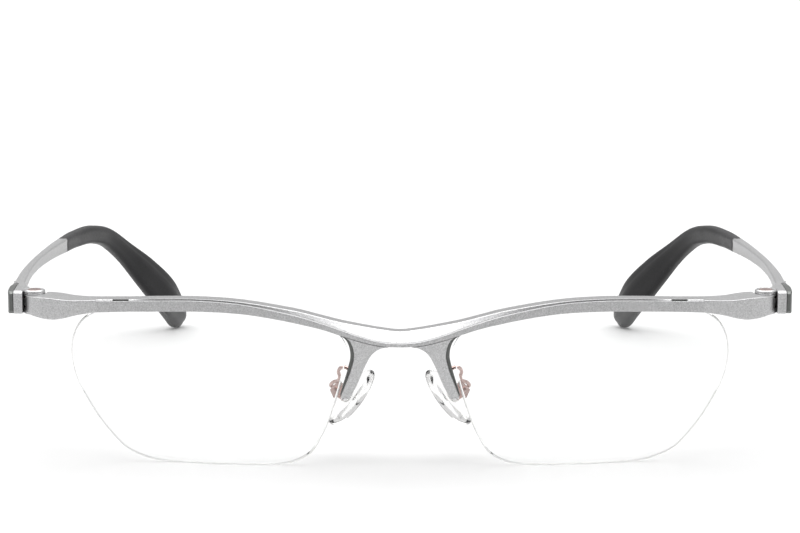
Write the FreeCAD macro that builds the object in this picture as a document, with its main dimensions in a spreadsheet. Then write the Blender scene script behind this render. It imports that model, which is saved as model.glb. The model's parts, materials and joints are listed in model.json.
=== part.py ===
import FreeCAD, Part
import math
import os

from FreeCAD import Vector

# Half rim eyeglasses, in millimetres. X runs across the face (+X is the wearer's left), Y runs
# back along the temples and Z is up. The origin is on the table, under the middle of the
# spectacles' box. Lens bottoms and temple tips stand on Z = 0.

doc = FreeCAD.newDocument("half_rim_eyeglasses")
sheet = doc.addObject("Spreadsheet::Sheet", "Sizes")

driving_sizes = [
    ("lens_width", 52.0, "eye size, one lens across"),
    ("lens_height", 31.2, "one lens from the table to its top"),
    ("bridge_width", 19.6, "between the two lenses"),
    ("lens_thickness", 1.8, ""),
    ("lens_setback", 1.05, "lens front behind the front bar's face"),
    ("wrap_radius", 132.0, "face curve of lenses and bars"),
    ("wrap_start", 20.0, "half width of the straight middle"),
    ("bars_inset", 4.784, "bars stop this far inside the lens's outer edge"),
    ("front_bar_depth", 0.8, "thickness of the front bar"),
    ("brow_bar_depth", 3.4, "front to back of the brow bar, without its bevel"),
    ("liner_thickness", 0.25, "clear strip between lens and bar"),
    ("groove_gap", 0.1, "room in front of and behind the lens in its groove"),
    ("lens_line_radius", 0.22, "nylon line round the lens"),
    ("lens_line_inset", 0.25, "line's middle inside the lens edge"),
    ("line_groove_radius", 0.3, ""),
    ("leg_channel", 1.25, "leg's rear layer beyond its front face"),
    ("leg_depth", 2.9, "leg front to back"),
    ("hinge_outset", 7.7, "hinge pin outside the lens edge"),
    ("hinge_setback", 4.7, "hinge pin behind the front's face"),
    ("hinge_drop", 1.25, "hinge's middle below the lens top"),
    ("hinge_height", 4.6, "all hinge knuckles together"),
    ("knuckle_radius", 2.1, ""),
    ("knuckle_clearance", 0.25, "air round a turning knuckle"),
    ("middle_knuckle", 1.5, "height of the end piece's knuckle"),
    ("washer_thickness", 0.2, ""),
    ("washer_gap", 0.05, "air on each side of a washer"),
    ("pin_radius", 0.7, "hinge screw's shank"),
    ("pin_clearance", 0.05, "air between shank and bush"),
    ("bush_radius", 1.1, ""),
    ("screw_head_radius", 1.2, ""),
    ("screw_head_height", 0.5, ""),
    ("slot_width", 0.35, "screwdriver slot"),
    ("block_inner", 2.0, "temple block's inner face, outside the hinge pin"),
    ("block_outer", 3.7, "temple block's outer face, outside the hinge pin"),
    ("plate_thickness", 1.4, "side plate"),
    ("plate_length", 11.0, ""),
    ("temple_length", 124.4, "hinge pin to the end of the tip, along Y"),
    ("metal_length", 68.0, "hinge pin to the start of the rubber tip"),
    ("core_radius", 0.7, "metal core inside the tip"),
    ("core_gap", 0.05, "air round the core and at its end"),
    ("core_length", 112.0, "hinge pin to the core's end, in a drawn temple"),
    ("tip_cap_length", 4.3, "rounded end of the tip"),
    ("pad_length", 13.4, ""),
    ("pad_width", 7.6, ""),
    ("pad_thickness", 2.6, ""),
    ("pad_setback", 11.5, "pad's middle behind the bridge's face"),
    ("pad_box_size", 2.6, ""),
    ("pad_screw_radius", 0.45, ""),
    ("pad_play", 0.05, "air round the pad screw"),
    ("pad_wire_radius", 0.5, ""),
]
for row, (name, value, note) in enumerate(driving_sizes, start=1):
    sheet.set("A%d" % row, name)
    sheet.set("B%d" % row, str(value))
    sheet.set("C%d" % row, note)
    sheet.setAlias("B%d" % row, name)
doc.recompute()


def size(name):
    return float(sheet.get(name))


lens_width = size("lens_width")
lens_height = size("lens_height")
half_bridge = size("bridge_width") / 2
wrap_radius = size("wrap_radius")
wrap_start = size("wrap_start")
front_bar_depth = size("front_bar_depth")
lens_setback = size("lens_setback")
lens_thickness = size("lens_thickness")

# The outlines below are drawn for this lens and temple and follow the sheet's.
drawn_width = 52.0
drawn_height = 31.2
drawn_half_bridge = 9.8
drawn_temple = 124.4
drawn_tip_end = 120.8
drawn_bend = 91.0  # behind the pin: from here the tip bends, and keeps its shape
drawn_hinge_z = 29.95
brow_line = 22.8  # drawn height: above it the lens keeps its shape, below it is stretched
lift = lens_height - drawn_height
stretch = lens_width / drawn_width

hinge_x = half_bridge + lens_width + size("hinge_outset")
bar_end = half_bridge + lens_width - size("bars_inset")
sphere_height = lens_height + 0.4


def front_y(x, z):
    """Face of the front: a straight middle and a sphere's curve on each side of it."""
    side_run = max(abs(x) - wrap_start, 0.0)
    drop = z - sphere_height
    return wrap_radius - math.sqrt(wrap_radius ** 2 - side_run ** 2 - drop ** 2)


hinge_y = front_y(hinge_x, sphere_height) + size("hinge_setback")
hinge_z = lens_height - size("hinge_drop")
hinge_low = hinge_z - size("hinge_height") / 2
hinge_top = hinge_z + size("hinge_height") / 2


def across(x):
    """A drawn distance from the middle, moved to the sheet's bridge and lens."""
    if x <= drawn_half_bridge:
        return x * half_bridge / drawn_half_bridge
    return half_bridge + (x - drawn_half_bridge) * stretch


def lens_z(z):
    """A drawn height on the lens, moved to the sheet's: its top edge rises with the bars."""
    if z >= brow_line:
        return z + lift
    return z * (brow_line + lift) / brow_line


def only_solid(shape):
    """The one solid of a boolean's result, or the largest when a crumb is left over."""
    solids = sorted(shape.Solids, key=lambda s: s.Volume)
    return solids[-1]


def mirrored(shape, side):
    """A shape drawn for the wearer's left (+X), or its mirror image."""
    if side > 0:
        return shape
    return shape.mirror(Vector(0, 0, 0), Vector(1, 0, 0))


def spline_wire(points, closed):
    curve = Part.BSplineCurve()
    curve.interpolate(points, PeriodicFlag=closed)
    return Part.Wire([curve.toShape()])


# ---- lens outline
lens_outline_points = [
    (0.0, 22.8), (1.7, 26.0), (4.5, 27.6), (12.5, 29.8), (20.0, 30.9), (27.4, 31.2), (35.0, 31.0),
    (42.0, 30.5), (46.6, 29.6), (49.8, 27.6), (51.6, 24.4), (52.0, 21.4), (51.3, 16.8), (48.9, 11.6),
    (45.2, 6.1), (41.75, 2.6), (38.0, 1.0), (30.0, 0.15), (22.0, 0.04), (13.8, 0.2), (10.2, 0.95),
    (7.2, 2.7), (5.0, 6.3), (2.4, 13.3), (0.7, 19.5),
]
outline = [Vector(half_bridge + u * stretch, 0, lens_z(v)) for u, v in lens_outline_points]
lens_wire = spline_wire(outline, True)


def grown_lens(distance):
    """The lens's outline, moved outwards by a distance."""
    curve = lens_wire.Edges[0].Curve
    centre = Vector(half_bridge + lens_width / 2, 0, lens_height / 2)
    count = 60
    points = []
    for n in range(count):
        at = curve.FirstParameter + (curve.LastParameter - curve.FirstParameter) * n / count
        point = curve.value(at)
        tangent = curve.tangent(at)[0]
        outward = Vector(tangent.z, 0, -tangent.x).normalize()
        if outward.dot(point - centre) < 0:
            outward = outward * -1
        points.append(point + outward * distance)
    return spline_wire(points, True)


def outline_block(wire):
    """Everything behind and in front of a closed outline in the XZ plane."""
    face = Part.Face(wire)
    face.translate(Vector(0, -20, 0))
    return face.extrude(Vector(0, 60, 0))


def curved_layer(front, back):
    """A layer of the lens's sphere, from one depth behind the front's face to another."""
    middle = Vector(wrap_start, wrap_radius, sphere_height)
    outer = Part.makeSphere(wrap_radius - front, middle)
    inner = Part.makeSphere(wrap_radius - back, middle)
    return outer.cut(inner)


lens_back = lens_setback + lens_thickness
lens_solid = only_solid(outline_block(lens_wire).common(curved_layer(lens_setback, lens_back)))

liner = size("liner_thickness")
liner_wire = grown_lens(liner)
groove_wire = grown_lens(liner + 0.02)
groove_gap = size("groove_gap")
groove_block = outline_block(groove_wire).common(
    curved_layer(front_bar_depth - 0.4, lens_back + groove_gap)
)
lens_block = outline_block(grown_lens(0.05))

# ---- bars
# distance from the middle, height of the ledge, height of the bottom edge, bevel
bar_stations = [
    (0.0, 24.5, 23.83, 1.85), (3.7, 24.8, 24.05, 1.95), (7.4, 25.8, 24.9, 1.65),
    (11.2, 27.15, 26.1, 1.15), (14.9, 28.45, 27.3, 0.85), (18.6, 29.6, 28.2, 0.7),
    (22.3, 30.5, 29.0, 0.55), (29.7, 31.9, 30.1, 0.3), (37.2, 32.4, 30.4, 0.22),
    (44.7, 32.25, 30.2, 0.2), (51.2, 31.95, 29.9, 0.15),
]
end_station = (bar_end, 31.65, 29.45, 0.15)
stations = [(across(x), ledge, bottom, bevel) for x, ledge, bottom, bevel in bar_stations]
stations.append(end_station)
stations = [(-x, a, b, c) for x, a, b, c in reversed(stations[1:])] + stations


def polygon(points):
    return Part.makePolygon(points + [points[0]])


def front_section(x, ledge, bottom):
    low = bottom + lift
    high = ledge + lift
    low_y = front_y(x, low)
    high_y = front_y(x, high)
    return polygon([
        Vector(x, low_y, low),
        Vector(x, high_y, high),
        Vector(x, high_y + front_bar_depth, high),
        Vector(x, low_y + front_bar_depth, low),
    ])


def brow_section(x, ledge, bottom, bevel):
    low = bottom + lift
    high = ledge + lift
    low_y = front_y(x, low) + front_bar_depth
    high_y = front_y(x, high) + front_bar_depth
    rear = high_y + size("brow_bar_depth") + 0.6 * bevel
    return polygon([
        Vector(x, low_y, low),
        Vector(x, high_y, high),
        Vector(x, high_y + bevel, high + bevel),
        Vector(x, rear, high + bevel),
        Vector(x, rear, low + 0.2),
    ])


front_bar = Part.makeLoft([front_section(x, a, b) for x, a, b, c in stations], True, False)
brow_bar = Part.makeLoft([brow_section(x, a, b, c) for x, a, b, c in stations], True, False)
both_grooves = groove_block.fuse(mirrored(groove_block, -1))
brow_bar = only_solid(brow_bar.cut(both_grooves))

# an open slit between the two bars, near each end
slit_x = across(52.3)
slit_z = 32.0 + lift
slit_turn = math.degrees(math.asin((slit_x - wrap_start) / wrap_radius))
for side in (1, -1):
    slit = Part.makeBox(2.6, 0.9, 1.0, Vector(-1.3, 0, -0.5))
    slit.rotate(Vector(0, 0, 0), Vector(0, 0, 1), slit_turn)
    slit.translate(Vector(slit_x, front_y(slit_x, slit_z) + front_bar_depth - 0.5, slit_z))
    brow_bar = brow_bar.cut(mirrored(slit, side))
brow_bar = only_solid(brow_bar)

# ---- nasal legs
leg_lens_side = [(9.05, 24.6), (8.6, 22.8), (9.0, 20.0), (9.9, 17.3), (11.1, 14.3)]
leg_tip = [(10.9, 13.75), (9.9, 13.9)]
leg_top = (2.2, 10.2)
leg_nose_side = [(8.2, 15.9), (7.1, 18.7), (6.2, 20.8), (5.4, 22.2), (4.4, 23.15), (3.2, 23.7)]


bottom_curve = Part.BSplineCurve()
bottom_curve.interpolate([Vector(x, 0, bottom + lift) for x, ledge, bottom, bevel in stations])


def bar_bottom(x):
    """A point on the bars' bottom edge, a hair below them."""
    low = bottom_curve.FirstParameter
    high = bottom_curve.LastParameter
    for attempt in range(40):
        middle = (low + high) / 2
        if bottom_curve.value(middle).x < x:
            low = middle
        else:
            high = middle
    return bottom_curve.value(low) - Vector(0, 0, 0.01)


def leg_face(channel):
    """The leg from the front: its top edge lies against the bars' bottom edge."""
    tip = [Vector(across(x) + channel * (1 - n), 0, z + lift) for n, (x, z) in enumerate(leg_tip)]
    top_start = across(leg_top[0])
    top_end = across(leg_top[1]) + channel
    top = [bar_bottom(top_start + (top_end - top_start) * n / 4) for n in range(5)]
    nose_side = [Vector(across(x), 0, z + lift) for x, z in leg_nose_side] + [top[0]]
    lens_side = [top[-1]] + [Vector(across(x) + channel, 0, z + lift) for x, z in leg_lens_side]
    return Part.Wire([
        spline_wire(lens_side, False).Edges[0],
        Part.LineSegment(lens_side[-1], tip[0]).toShape(),
        Part.LineSegment(tip[0], tip[1]).toShape(),
        Part.LineSegment(tip[1], nose_side[0]).toShape(),
        spline_wire(nose_side, False).Edges[0],
        spline_wire(top, False).Edges[0],
    ])


def leg_layer(front, back):
    """The leg's layers curve up and down like the lens, and stay straight across."""
    middle = Vector(-20, wrap_radius, sphere_height)
    outer = Part.makeCylinder(wrap_radius - front, 60, middle, Vector(1, 0, 0))
    inner = Part.makeCylinder(wrap_radius - back, 60, middle, Vector(1, 0, 0))
    return outer.cut(inner)


leg_front = outline_block(leg_face(0.0)).common(leg_layer(0.0, front_bar_depth))
leg_rear = outline_block(leg_face(size("leg_channel"))).common(
    leg_layer(front_bar_depth, size("leg_depth"))
)
leg = only_solid(leg_front.fuse(leg_rear.cut(lens_block)))

# ---- end pieces
end_bar_y = front_y(bar_end, hinge_z)
end_front_xs = [bar_end + (hinge_x - 0.9 - bar_end) * n / 4 for n in range(5)]
end_front = [Vector(x, front_y(x, hinge_z), 0) for x in end_front_xs]
nose = Vector(hinge_x + 1.55, hinge_y - 2.2, 0)
end_front.append(Vector(hinge_x + 0.9, hinge_y - 3.3, 0))
end_front.append(nose)
end_rear = [
    Vector(hinge_x + 1.3, hinge_y - 1.2, 0),
    Vector(hinge_x - 2.6, hinge_y + 0.9, 0),
    Vector(hinge_x - 4.8, hinge_y + 0.6, 0),
    Vector(hinge_x - 8.5, hinge_y - 2.0, 0),
    Vector(bar_end, end_bar_y + front_bar_depth + size("brow_bar_depth") + 0.1, 0),
]
end_plan = Part.Wire([
    spline_wire(end_front, False).Edges[0],
    Part.LineSegment(nose, end_rear[0]).toShape(),
    Part.LineSegment(end_rear[0], end_rear[1]).toShape(),
    spline_wire(end_rear[1:], False).Edges[0],
    Part.LineSegment(end_rear[-1], end_front[0]).toShape(),
])
end_plan_block = Part.Face(end_plan).extrude(Vector(0, 0, 60))

end_top = [(bar_end, 31.8), (hinge_x - 7.5, 31.45), (hinge_x - 3.5, 31.6), (hinge_x + 2, 31.4)]
end_bottom = [
    (hinge_x + 2, 28.5), (hinge_x - 0.4, 27.9), (hinge_x - 1.9, 27.6), (hinge_x - 4.1, 27.5),
    (hinge_x - 7.5, 28.3), (bar_end, 29.45),
]
end_top_edge = spline_wire([Vector(x, 0, z + lift) for x, z in end_top], False).Edges[0]
end_bottom_edge = spline_wire([Vector(x, 0, z + lift) for x, z in end_bottom], False).Edges[0]
end_side = Part.Wire([
    end_top_edge,
    Part.LineSegment(end_top_edge.Vertexes[-1].Point, end_bottom_edge.Vertexes[0].Point).toShape(),
    end_bottom_edge,
    Part.LineSegment(end_bottom_edge.Vertexes[-1].Point, end_top_edge.Vertexes[0].Point).toShape(),
])
end_body = only_solid(end_plan_block.common(outline_block(end_side)))
turning = size("knuckle_radius") + size("knuckle_clearance")
end_body = end_body.cut(Part.makeCylinder(turning, 60, Vector(hinge_x, hinge_y, 0)))

middle_low = hinge_z - size("middle_knuckle") / 2
middle_height = size("middle_knuckle")
middle_foot = Vector(hinge_x, hinge_y, middle_low)
knuckle = Part.makeCylinder(size("knuckle_radius"), middle_height, middle_foot)
tongue_bite = 0.9  # how far the tongue runs into the end piece
tongue = Part.makeBox(
    3.4, turning + tongue_bite, middle_height,
    Vector(hinge_x - 2.4, hinge_y - turning - tongue_bite, middle_low),
)
end_body = end_body.fuse(tongue).fuse(knuckle)
bush_hole = Part.makeCylinder(size("bush_radius") + 0.01, middle_height, middle_foot)
end_body = only_solid(end_body.cut(bush_hole).cut(groove_block).removeSplitter())

# the liner fills the groove's roof above the lens and stops where the lens leaves the bars
liner_ring = outline_block(liner_wire).cut(outline_block(grown_lens(0.02)))
liner_ring = liner_ring.common(curved_layer(lens_setback + 0.02, lens_back - 0.02))
keep = Part.makeBox(across(55.5) - across(14.2), 60, 60, Vector(across(14.2), -20, lens_height / 2))
liner_solid = only_solid(liner_ring.common(keep))


# ---- tubes along a route
def route_wire(points):
    """Straight runs joined by arcs that are as large as the runs allow."""
    edges = []
    radii = []
    start = points[0]
    for n in range(1, len(points) - 1):
        before = points[n - 1] - points[n]
        after = points[n + 1] - points[n]
        shorter = min(before.Length, after.Length)
        turn = math.pi - before.getAngle(after)
        reach = 0.45 * shorter
        radii.append(reach / math.tan(turn / 2))
        into = points[n] + before.normalize() * reach
        out = points[n] + after.normalize() * reach
        bisector = (before + after).normalize()
        radius = reach / math.tan(turn / 2)
        centre_distance = radius / math.cos(turn / 2)
        middle = points[n] + bisector * (centre_distance - radius)
        edges.append(Part.LineSegment(start, into).toShape())
        edges.append(Part.Arc(into, middle, out).toShape())
        start = out
    edges.append(Part.LineSegment(start, points[-1]).toShape())
    return Part.Wire(edges), radii


def tube(points, radius):
    wire, radii = route_wire(points)
    profile = Part.Wire([Part.Circle(points[0], points[1] - points[0], radius).toShape()])
    solid = wire.makePipeShell([profile], True, False)
    return solid, wire, radii


# the nylon line runs in the lens's edge from the leg's tip, round the bottom, to the end piece
line_edge = lens_wire.Edges[0]
line_curve = line_edge.Curve
first = line_curve.parameter(Vector(across(11.2), 0, lens_z(16.8)))
last = line_curve.parameter(Vector(across(58.3), 0, lens_z(28.7)))
runs = 30
line_points = []
line_sphere = wrap_radius - lens_setback - lens_thickness / 2
for n in range(runs + 1):
    # the outline is drawn from the nose over the top, so the bottom runs backwards
    at = last + (first - last) * n / runs
    point = line_curve.value(at)
    tangent = line_curve.tangent(at)[0]
    inward = Vector(tangent.z, 0, -tangent.x)
    middle = Vector(half_bridge + lens_width / 2, 0, lens_height / 2)
    if inward.dot(middle - point) < 0:
        inward = inward * -1
    point = point + inward * size("lens_line_inset")
    side_run = point.x - wrap_start
    drop = point.z - sphere_height
    depth = wrap_radius - math.sqrt(line_sphere ** 2 - side_run ** 2 - drop ** 2)
    line_points.append(Vector(point.x, depth, point.z))
line_tube, line_path, line_radii = tube(line_points, size("lens_line_radius"))
print("lens line", round(line_path.Length, 1), "mm, smallest bend", round(min(line_radii), 1))
line_groove = tube(line_points, size("line_groove_radius"))[0]
lens_solid = only_solid(lens_solid.cut(line_groove))

# ---- temples
# outside the hinge pin, behind it, height; the last five bend down to the table
temple_route = [
    (4.1, 8.0, 30.0), (4.15, 20.0, 30.75), (4.05, 34.0, 30.4), (3.4, 48.0, 29.8), (1.9, 68.0, 28.6),
    (0.4, 80.0, 27.95), (-2.3, 91.0, 27.0), (-5.0, 99.5, 24.5), (-8.2, 105.6, 20.2), (-12.3, 111.6, 14.4),
    (-16.3, 117.6, 7.9), (-17.9, 120.8, 4.1),
]
# behind the hinge pin, across, tall
metal_sections = [(8.0, 2.4, 3.6), (20.0, 1.9, 2.1), (34.0, 1.6, 2.1), (48.0, 1.7, 2.3), (68.0, 2.2, 3.0)]
tip_sections = [
    (68.0, 2.7, 3.3), (80.0, 3.1, 3.6), (92.0, 3.3, 4.0), (99.5, 3.3, 4.3), (105.6, 3.2, 5.0),
    (111.6, 3.5, 7.0), (117.6, 3.7, 7.8), (120.8, 3.4, 7.0),
]
length_change = size("temple_length") - drawn_temple
straight_factor = (drawn_bend + length_change) / drawn_bend
height_factor = hinge_z / drawn_hinge_z
tip_start_drawn = size("metal_length") / straight_factor
core_end_drawn = size("core_length")


def temple_y(back):
    """A drawn distance behind the pin: a new length stretches the straight and moves the bend."""
    if back > drawn_bend:
        return hinge_y + back + length_change
    return hinge_y + back * straight_factor


def temple_point(out, back, high):
    return Vector(hinge_x + out, temple_y(back), high * height_factor)


route_points = [temple_point(*station) for station in temple_route]
route_curve = Part.BSplineCurve()
route_curve.interpolate(route_points)


def route_place(back):
    """The route's point and direction at a drawn distance behind the hinge pin."""
    target = temple_y(back)
    low = route_curve.FirstParameter
    high = route_curve.LastParameter
    for attempt in range(40):
        middle = (low + high) / 2
        if route_curve.value(middle).y < target:
            low = middle
        else:
            high = middle
    return route_curve.value(low), route_curve.tangent(low)[0]


def section_size(table, back):
    """Across and tall between two rows of a table."""
    for near, far in zip(table, table[1:]):
        if back <= far[0]:
            break
    share = (back - near[0]) / (far[0] - near[0])
    share = min(max(share, 0.0), 1.0)
    return [a + (b - a) * share for a, b in zip(near[1:], far[1:])]


def rounded_section(centre, along, wide, tall, corner):
    """A rounded rectangle square to a route, its height as upright as the route lets it be."""
    along = Vector(along).normalize()
    sideways = along.cross(Vector(0, 0, 1)).normalize()
    upright = sideways.cross(along).normalize()
    w = wide / 2
    t = tall / 2
    r = min(corner, 0.48 * wide, 0.48 * tall)
    k = r * (1 - math.sqrt(0.5))

    def place(a, b):
        return centre + sideways * a + upright * b

    # each corner's arc: its start, its middle and its end, going round one way
    arcs = [
        (place(w, t - r), place(w - k, t - k), place(w - r, t)),
        (place(r - w, t), place(k - w, t - k), place(-w, t - r)),
        (place(-w, r - t), place(k - w, k - t), place(r - w, -t)),
        (place(w - r, -t), place(w - k, k - t), place(w, r - t)),
    ]
    edges = []
    for n, arc in enumerate(arcs):
        edges.append(Part.Arc(*arc).toShape())
        edges.append(Part.LineSegment(arc[2], arcs[(n + 1) % 4][0]).toShape())
    return Part.Wire(edges)


def stations_between(start, stop, count):
    return [start + (stop - start) * n / count for n in range(count + 1)]


def loft_route(table, backs, corner, grow=0.0):
    sections = []
    for back in backs:
        point, along = route_place(back)
        wide, tall = section_size(table, back)
        sections.append(rounded_section(point, along, wide + grow, tall + grow, corner))
    return Part.makeLoft(sections, True, False)


core_size = 2 * size("core_radius")
core_table = [(0.0, core_size, core_size), (200.0, core_size, core_size)]
metal_bar = loft_route(metal_sections, stations_between(8.0, tip_start_drawn, 12), 0.45)
tip_loft = loft_route(tip_sections, stations_between(tip_start_drawn, drawn_tip_end, 16), 1.5)
core_stations = stations_between(tip_start_drawn - 1.0, core_end_drawn, 12)
core_corner = size("core_radius")
core_gap = size("core_gap")
core = loft_route(core_table, core_stations, core_corner)
hole_stations = core_stations + [core_end_drawn + 10 * core_gap]
core_hole = loft_route(core_table, hole_stations, core_corner + core_gap, 2 * core_gap)

tip_end, tip_direction = route_place(drawn_tip_end)
tip_side = tip_direction.cross(Vector(0, 0, 1)).normalize()
tip_up = tip_side.cross(tip_direction)
end_wide, end_tall = section_size(tip_sections, drawn_tip_end)
cap_matrix = FreeCAD.Matrix()
cap_matrix.scale(Vector(end_wide / 2, size("tip_cap_length"), end_tall / 2))
tip_cap = Part.makeSphere(1).transformGeometry(cap_matrix)
tip_cap.Placement = FreeCAD.Placement(tip_end, FreeCAD.Rotation(tip_side, tip_direction, tip_up, "XYZ"))
floor_cut = Part.makeBox(400, 400, 50, Vector(-200, -100, -50))
tip_solid = only_solid(tip_loft.fuse(tip_cap).cut(floor_cut).cut(core_hole))

# the block carries the outer knuckles; its inner front corner is scooped round the hinge
block_inner = hinge_x + size("block_inner")
block_outer = hinge_x + size("block_outer")
block_front = hinge_y - 2.5
block_tail = Vector(hinge_x + 3.1, hinge_y + 10.5, 0)
block_heel = Vector(hinge_x + 0.9, hinge_y + 1.9, 0)
outer_side = Part.makePolygon([
    Vector(block_inner, block_front, 0),
    Vector(block_outer, block_front, 0),
    Vector(block_outer, hinge_y + 7.5, 0),
    Vector(hinge_x + 5.1, hinge_y + 10.5, 0),
    block_tail,
])
scoop = Part.Arc(block_tail, Vector(hinge_x + 2.1, hinge_y + 6.0, 0), block_heel).toShape()
inner_side = Part.makePolygon([
    block_heel,
    Vector(block_inner, hinge_y, 0),
    Vector(block_inner, block_front, 0),
])
block_plan = Part.Wire(outer_side.Edges + [scoop] + inner_side.Edges)
block = Part.Face(block_plan).extrude(Vector(0, 0, 60))
block_rise = [
    Vector(0, hinge_y - 2.6, hinge_low + 0.5), Vector(0, hinge_y - 2.6, hinge_top - 0.4),
    Vector(0, hinge_y - 1.9, hinge_top), Vector(0, hinge_y + 4.0, hinge_top),
    Vector(0, hinge_y + 10.6, hinge_z + 1.75), Vector(0, hinge_y + 10.6, hinge_z - 1.6),
    Vector(0, hinge_y + 2.0, hinge_low), Vector(0, hinge_y - 1.6, hinge_low),
]
rise_face = Part.Face(polygon(block_rise))
block = block.common(rise_face.extrude(Vector(200, 0, 0)))

hinge_foot = Vector(hinge_x, hinge_y, hinge_low)
outer_knuckle = Part.makeCylinder(size("knuckle_radius"), size("hinge_height"), hinge_foot)
arm = block.fuse(outer_knuckle)
middle_room = size("middle_knuckle") + 2 * size("washer_thickness") + 4 * size("washer_gap")
room_low = hinge_z - middle_room / 2
slot_room = Part.makeCylinder(turning, middle_room, Vector(hinge_x, hinge_y, room_low))
front_room = Part.makeBox(2 * turning, 6, middle_room, Vector(hinge_x - turning, hinge_y - 6, room_low))
beside_block = Part.makeBox(10, 10, 60, Vector(block_inner, hinge_y - 8, 0))
arm = arm.cut(slot_room).cut(front_room.cut(beside_block))
screw_bore = Part.makeCylinder(size("pin_radius"), 10, Vector(hinge_x, hinge_y, hinge_low - 1))
head_low = hinge_top - size("screw_head_height")
head_bore = Part.makeCylinder(size("screw_head_radius"), 3, Vector(hinge_x, hinge_y, head_low))
arm = arm.cut(screw_bore).cut(head_bore)
arm = arm.fuse(metal_bar).fuse(core)
arm = only_solid(arm.removeSplitter())

# ---- side plates
plate_thickness = size("plate_thickness")
plate_out = block_outer + plate_thickness
plate_nose = block_outer + 0.57 * plate_thickness
plate_tail = block_outer + 0.57 * plate_thickness
plate_front = hinge_y - 2.5
plate_rear = plate_front + size("plate_length")
plate_plan = Part.Wire([
    Part.LineSegment(Vector(block_outer, plate_front, 0), Vector(plate_nose, plate_front, 0)).toShape(),
    Part.Arc(
        Vector(plate_nose, plate_front, 0),
        Vector(plate_out - 0.12 * plate_thickness, plate_front + 1.7, 0),
        Vector(plate_out, plate_front + 4.0, 0),
    ).toShape(),
    Part.Arc(
        Vector(plate_out, plate_front + 4.0, 0),
        Vector(plate_out - 0.1 * plate_thickness, plate_rear - 2.5, 0),
        Vector(plate_tail, plate_rear, 0),
    ).toShape(),
    Part.LineSegment(Vector(plate_tail, plate_rear, 0), Vector(block_outer, plate_rear, 0)).toShape(),
    Part.LineSegment(Vector(block_outer, plate_rear, 0), Vector(block_outer, plate_front, 0)).toShape(),
])
plate = Part.Face(plate_plan).extrude(Vector(0, 0, 60))
plate_rise = [
    Vector(0, plate_front - 0.1, hinge_low + 0.7), Vector(0, plate_front - 0.1, hinge_top - 0.5),
    Vector(0, plate_front + 0.7, hinge_top - 0.1), Vector(0, plate_front + 6.0, hinge_top - 0.1),
    Vector(0, plate_rear + 0.1, hinge_z + 1.7), Vector(0, plate_rear + 0.1, hinge_z - 1.5),
    Vector(0, plate_front + 4.0, hinge_low), Vector(0, plate_front + 1.0, hinge_low),
]
plate = plate.common(Part.Face(polygon(plate_rise)).extrude(Vector(200, 0, 0)))
plate = only_solid(plate.cut(arm))

# ---- nose pads
pad_middle = Vector(across(9.3), size("pad_setback"), 11.9 + lift)
pad_long = Vector(0.64, 0.12, -0.76).normalize()
pad_face = Vector(-0.72, 0.42, -0.55)
pad_face = (pad_face - pad_long * pad_face.dot(pad_long)).normalize()
pad_cross = pad_face.cross(pad_long).normalize()
pad_turn = FreeCAD.Rotation(pad_long, pad_cross, pad_face, "XYZ")
pad_place = FreeCAD.Placement(pad_middle, pad_turn)


def placed(shape, place):
    copy = shape.copy()
    copy.Placement = place.multiply(copy.Placement)
    return copy


pad_oval = Part.Ellipse(Vector(0, 0, 0), size("pad_length") / 2, size("pad_width") / 2).toShape()
pad_block = Part.Face(Part.Wire([pad_oval])).extrude(Vector(0, 0, size("pad_thickness")))
pad_block.translate(Vector(0, 0, -size("pad_thickness") / 2))
pad_block = pad_block.makeFillet(0.42 * size("pad_thickness"), pad_block.Edges)

box_size = size("pad_box_size")
pad_back = -size("pad_thickness") / 2
core_out = 1.7  # how far the core stands out behind the pad
core_wide = 1.4
core_foot_depth = 0.7
core_low = pad_back - core_out
core_body = Part.makeBox(2.2, core_wide, core_out + core_foot_depth, Vector(-1.1, -core_wide / 2, core_low))
core_foot = Part.makeCylinder(1.6, core_foot_depth, Vector(0, 0, pad_back))
core_shape = core_body.fuse(core_foot)
screw_z = core_low + 0.75
screw_turn = FreeCAD.Rotation(Vector(0, 0, 1), Vector(0, 1, 0))
play = size("pad_play")
pad_screw_radius = size("pad_screw_radius")
core_hole_shape = Part.makeCylinder(pad_screw_radius + play, 6, Vector(0, -3, screw_z), Vector(0, 1, 0))
core_shape = core_shape.cut(core_hole_shape).removeSplitter()
pad_block = pad_block.cut(core_body.fuse(core_foot))

ear_gap = core_wide / 2 + 0.08
ear = 0.6
box_low = core_low - 0.95
box_half = ear_gap + ear
box_shape = Part.makeBox(box_size, 2 * box_half, 0.6, Vector(-box_size / 2, -box_half, box_low))
for way in (1, -1):
    low_y = ear_gap if way > 0 else -ear_gap - ear
    box_shape = box_shape.fuse(Part.makeBox(2.0, ear, 1.9, Vector(-1.0, low_y, core_low - 0.5)))
ear_bore = Part.makeCylinder(pad_screw_radius, 6, Vector(0, -3, screw_z), Vector(0, 1, 0))
box_shape = box_shape.cut(ear_bore).removeSplitter()
screw_length = 2 * box_half
screw_start = Vector(0, -box_half, screw_z)
pad_screw = Part.makeCylinder(pad_screw_radius, screw_length, screw_start, Vector(0, 1, 0))
pad_head = Part.makeCylinder(0.8, 0.45, Vector(0, box_half, screw_z), Vector(0, 1, 0))
pad_head = pad_head.cut(Part.makeBox(2, 0.2, 0.25, Vector(-1, box_half + 0.25, screw_z - 0.12)))
pad_screw = pad_screw.fuse(pad_head).removeSplitter()

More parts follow.
